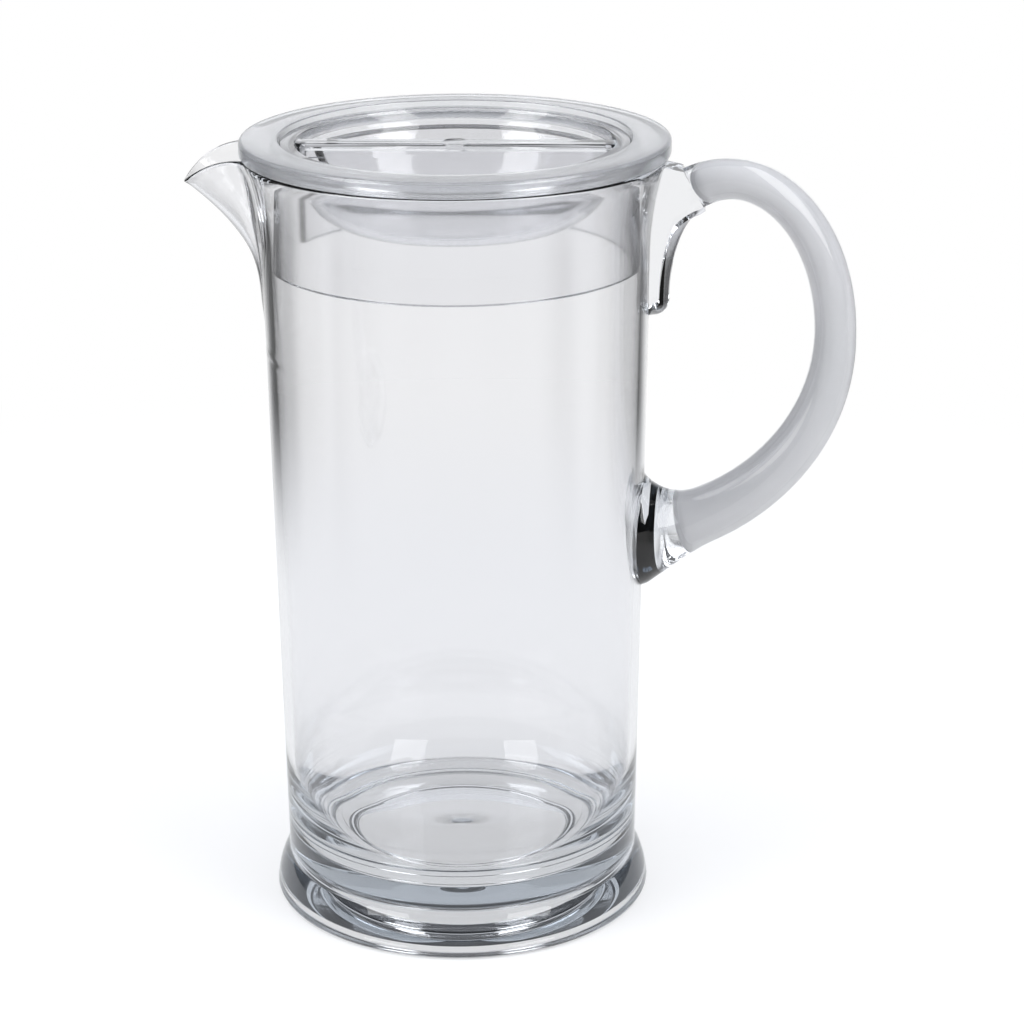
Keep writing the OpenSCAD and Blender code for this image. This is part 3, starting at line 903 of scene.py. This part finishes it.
@dataclass
class Studio:
    """Pale floor, white surround, two overhead light banks and the camera.

    Lengths are in metres and angles in degrees. A pair of side values gives where a pale zone begins and is
    full, as the share of a direction that points that way.
    """

    distance: float = 0.88875
    height: float = 0.43775
    turn: float = 3.3
    yaw: float = 1.09
    pitch: float = 19.23
    roll: float = -0.24
    lens: float = 103.5
    sensor: float = 36.0
    bank_low: Triple = (0.47, -0.50, 0.28)
    bank_top: Triple = (0.51, 0.32, 1.65)
    bank_aim: Triple = (0.0, 0.0, 0.1)
    bank_w: float = 0.33
    bank_level: float = 3.4
    fill: float = 1.0
    room: float = 0.11
    sweep: float = 1.0
    sweep_side: Point = (0.82, 0.97)
    sweep_top: Point = (0.3, 0.55)
    strip: float = 0.8
    strip_side: Point = (0.93, 0.985)
    floor_size: float = 40.0
    floor_glow: float = 0.39
    floor_seen: float = 0.7
    floor_front: float = 0.75
    front_side: Point = (-0.2, -0.6)
    floor_near: Point = (0.58, 0.28)
    floor_dark: str = "757678"
    floor_shade: str = "C0C0C0"
    room_shade: str = "EEF1F8"
    sweep_shade: str = "F8F9FC"
    bounces: int = 32
    glossy_bounces: int = 12

    def camera(self) -> None:
        """Places the camera at the photograph's viewpoint."""
        heading = math.radians(self.yaw - self.turn)
        pitch, roll = math.radians(self.pitch), math.radians(self.roll)
        level = math.cos(pitch)
        forward = Vector((math.sin(heading) * level, math.cos(heading) * level, -math.sin(pitch)))
        right = Vector((math.cos(heading), -math.sin(heading), 0))
        up = right.cross(forward)
        right, up = (math.cos(roll) * right + math.sin(roll) * up,
                     -math.sin(roll) * right + math.cos(roll) * up)
        turn = math.radians(self.turn)
        data = bpy.data.cameras.new("view")
        data.lens = self.lens
        data.sensor_width = self.sensor
        eye = bpy.data.objects.new("view", data)
        bpy.context.scene.collection.objects.link(eye)
        place = Vector((self.distance * math.sin(turn), -self.distance * math.cos(turn), self.height))
        eye.matrix_world = Matrix.Translation(place) @ Matrix((right, up, -forward)).transposed().to_4x4()
        bpy.context.scene.camera = eye

    def lights(self) -> None:
        """Sets up two strip light banks, left and right, that lean from the front over the pitcher."""
        for name, side in (("bank_left", -1), ("bank_right", 1)):
            low = Vector((side * self.bank_low[0], self.bank_low[1], self.bank_low[2]))
            top = Vector((side * self.bank_top[0], self.bank_top[1], self.bank_top[2]))
            along = (top - low).normalized()
            middle = (low + top) / 2
            facing = (middle - Vector(self.bank_aim)).normalized()
            across = along.cross(facing).normalized()
            data = bpy.data.lights.new(name, "AREA")
            data.shape = "RECTANGLE"
            data.size, data.size_y = self.bank_w, (top - low).length
            data.energy = self.bank_level * math.pi * data.size * data.size_y
            lamp = bpy.data.objects.new(name, data)
            axes = Matrix((across, along, across.cross(along))).transposed()
            lamp.matrix_world = Matrix.Translation(middle) @ axes.to_4x4()
            bpy.context.scene.collection.objects.link(lamp)

    def strips(self, tree: bpy.types.NodeTree, across: bpy.types.NodeSocket) -> bpy.types.NodeSocket:
        """Gives the level of the pale strips that run out to both sides.

        Args:
            tree: Node tree of the floor or of the world.
            across: How far the direction points to the side.

        Returns:
            The level's socket.
        """
        aside = add_node(tree, "ShaderNodeMath", {"operation": "ABSOLUTE"}, {0: across})
        level = add_node(tree, "ShaderNodeMapRange", None,
                         {"Value": aside.outputs[0],
                          "From Min": self.strip_side[0], "From Max": self.strip_side[1],
                          "To Min": 0.0, "To Max": self.strip})
        return level.outputs["Result"]

    def surround(self) -> None:
        """Makes the world: white to the eye, and for every other ray a white sweep behind in a dim room.

        After a diffuse bounce the room is evenly bright, so that the milky grip is lit from all sides.
        """
        world = bpy.data.worlds.new("studio")
        bpy.context.scene.world = world
        world.use_nodes = True
        tree = world.node_tree
        tree.nodes.clear()
        ray = add_node(tree, "ShaderNodeLightPath")
        way = add_node(tree, "ShaderNodeSeparateXYZ", None,
                       {0: add_node(tree, "ShaderNodeTexCoord").outputs["Generated"]})
        behind = add_node(tree, "ShaderNodeMapRange", None,
                          {"Value": way.outputs["Y"],
                           "From Min": self.sweep_side[0], "From Max": self.sweep_side[1]})
        below = add_node(tree, "ShaderNodeMapRange", {"interpolation_type": "SMOOTHSTEP"},
                         {"Value": way.outputs["Z"],
                          "From Min": self.sweep_top[1], "From Max": self.sweep_top[0]})
        open_way = add_node(tree, "ShaderNodeMath", {"operation": "MAXIMUM"},
                            {0: behind.outputs["Result"], 1: self.strips(tree, way.outputs["X"])})
        share = add_node(tree, "ShaderNodeMath", {"operation": "MULTIPLY"},
                         {0: open_way.outputs[0], 1: below.outputs["Result"]})
        fill = add_node(tree, "ShaderNodeMapRange", None,
                        {"Value": ray.outputs["Diffuse Depth"], "To Min": self.room, "To Max": self.fill})
        room = add_node(tree, "ShaderNodeBackground", None,
                        {"Color": linear(self.room_shade), "Strength": fill.outputs["Result"]})
        sweep = add_node(tree, "ShaderNodeBackground", None,
                         {"Color": linear(self.sweep_shade), "Strength": self.sweep})
        studio = add_node(tree, "ShaderNodeMixShader", None,
                          {0: share.outputs[0], 1: room.outputs[0], 2: sweep.outputs[0]})
        white = add_node(tree, "ShaderNodeBackground", None, {"Color": (1, 1, 1, 1), "Strength": 1.0})
        both = add_node(tree, "ShaderNodeMixShader", None,
                        {0: ray.outputs["Is Camera Ray"], 1: studio.outputs[0], 2: white.outputs[0]})
        add_node(tree, "ShaderNodeOutputWorld", None, {"Surface": both.outputs[0]})

    def floor(self) -> None:
        """Lays the pale floor, which looks white to the eye and keeps a soft shadow.

        Other rays see it pale near the pitcher, behind it, before it and in the strips to both sides.
        """
        deselect()
        bpy.ops.mesh.primitive_plane_add(size=self.floor_size)
        piece = bpy.context.active_object
        piece.name = "floor"
        material = bpy.data.materials.new("matt white studio floor")
        material.use_nodes = True
        tree = material.node_tree
        tree.nodes.clear()
        ray = add_node(tree, "ShaderNodeLightPath")
        place = add_node(tree, "ShaderNodeTexCoord").outputs["Object"]
        far = add_node(tree, "ShaderNodeVectorMath", {"operation": "LENGTH"}, {0: place})
        near = add_node(tree, "ShaderNodeMapRange", {"interpolation_type": "SMOOTHSTEP"},
                        {"Value": far.outputs["Value"],
                         "From Min": self.floor_near[0], "From Max": self.floor_near[1]})
        way = add_node(tree, "ShaderNodeVectorMath", {"operation": "NORMALIZE"}, {0: place})
        side = add_node(tree, "ShaderNodeSeparateXYZ", None, {0: way.outputs[0]})
        behind = add_node(tree, "ShaderNodeMapRange", None,
                          {"Value": side.outputs["Y"],
                           "From Min": self.sweep_side[0], "From Max": self.sweep_side[1],
                           "To Min": self.room, "To Max": self.sweep})
        fill = add_node(tree, "ShaderNodeMath", {"operation": "MULTIPLY", "use_clamp": True},
                        {0: ray.outputs["Diffuse Depth"], 1: self.fill})
        front = add_node(tree, "ShaderNodeMapRange", None,
                         {"Value": side.outputs["Y"],
                          "From Min": self.front_side[0], "From Max": self.front_side[1],
                          "To Min": 0.0, "To Max": self.floor_front})
        ahead = add_node(tree, "ShaderNodeMath", {"operation": "MAXIMUM"},
                         {0: behind.outputs["Result"], 1: front.outputs["Result"]})
        sheet = add_node(tree, "ShaderNodeMath", {"operation": "MAXIMUM"},
                         {0: ahead.outputs[0], 1: self.strips(tree, side.outputs["X"])})
        around = add_node(tree, "ShaderNodeMath", {"operation": "MAXIMUM"},
                          {0: sheet.outputs[0], 1: fill.outputs[0]})
        ways = []
        for shade, glow, open_glow in ((self.floor_dark, self.floor_seen, around.outputs[0]),
                                       (self.floor_shade, self.floor_glow, 1.0)):
            lit = add_node(tree, "ShaderNodeBsdfDiffuse", None, {"Color": linear(shade)})
            own = add_node(tree, "ShaderNodeEmission", None, {"Color": (1, 1, 1, 1), "Strength": glow})
            spot = add_node(tree, "ShaderNodeAddShader", None, {0: lit.outputs[0], 1: own.outputs[0]})
            rest = add_node(tree, "ShaderNodeEmission", None, {"Color": (1, 1, 1, 1), "Strength": open_glow})
            mixed = add_node(tree, "ShaderNodeMixShader", None,
                             {0: near.outputs["Result"], 1: rest.outputs[0], 2: spot.outputs[0]})
            ways.append(mixed.outputs[0])
        both = add_node(tree, "ShaderNodeMixShader", None,
                        {0: ray.outputs["Is Camera Ray"], 1: ways[0], 2: ways[1]})
        add_node(tree, "ShaderNodeOutputMaterial", None, {"Surface": both.outputs[0]})
        piece.data.materials.append(material)

    def build(self) -> None:
        """Sets up camera, lights, surround and floor."""
        self.camera()
        self.lights()
        self.surround()
        self.floor()
        scene = bpy.context.scene
        scene.view_settings.view_transform = "Standard"
        scene.cycles.max_bounces = self.bounces
        scene.cycles.transmission_bounces = self.bounces
        scene.cycles.glossy_bounces = self.glossy_bounces


def main() -> None:
    """Builds the pitcher and its studio."""
    logging.basicConfig(level=logging.INFO, format="%(message)s")
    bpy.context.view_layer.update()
    Studio().build()
    jug = Jug(ClearPlastic("moulded clear plastic, polished jug"))
    shell = jug.build()
    LOG.info("jug_shell: %d faces", len(shell.data.polygons))
    handle = Handle(jug, ClearPlastic("clear plastic, matt inside of the blown hollow", grain=0.3, milk=0.86))
    loop, hollow = handle.build()
    combine(shell, loop, "UNION")
    outer_faces = len(shell.data.polygons)
    unite_shells(shell, hollow)
    bpy.ops.object.shade_smooth_by_angle(angle=SHARP_ABOVE)
    jug.dress(shell)
    handle.line(shell, list(range(outer_faces, len(shell.data.polygons))))
    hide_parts("jug_body", "foot_ring", "handle_lower_mount", "handle_upper_mount", "handle_grip")
    LOG.info("jug with handle: %d faces", len(shell.data.polygons))
    ring = LidRing(jug, ClearPlastic("moulded clear plastic, polished lid ring",
                                     grain=0.15, milk=0.12, density=15.0))
    flange = ring.build()
    ring.dress(flange)
    LOG.info("lid_flange_ring: %d faces", len(flange.data.polygons))
    centre = LidCentre(jug, ring, ClearPlastic("moulded clear plastic, polished lid middle", grain=0.06))
    bowl = centre.build()
    centre.dress(bowl)
    LOG.info("lid_centre_bowl: %d faces", len(bowl.data.polygons))


if __name__ == "__main__":
    main()
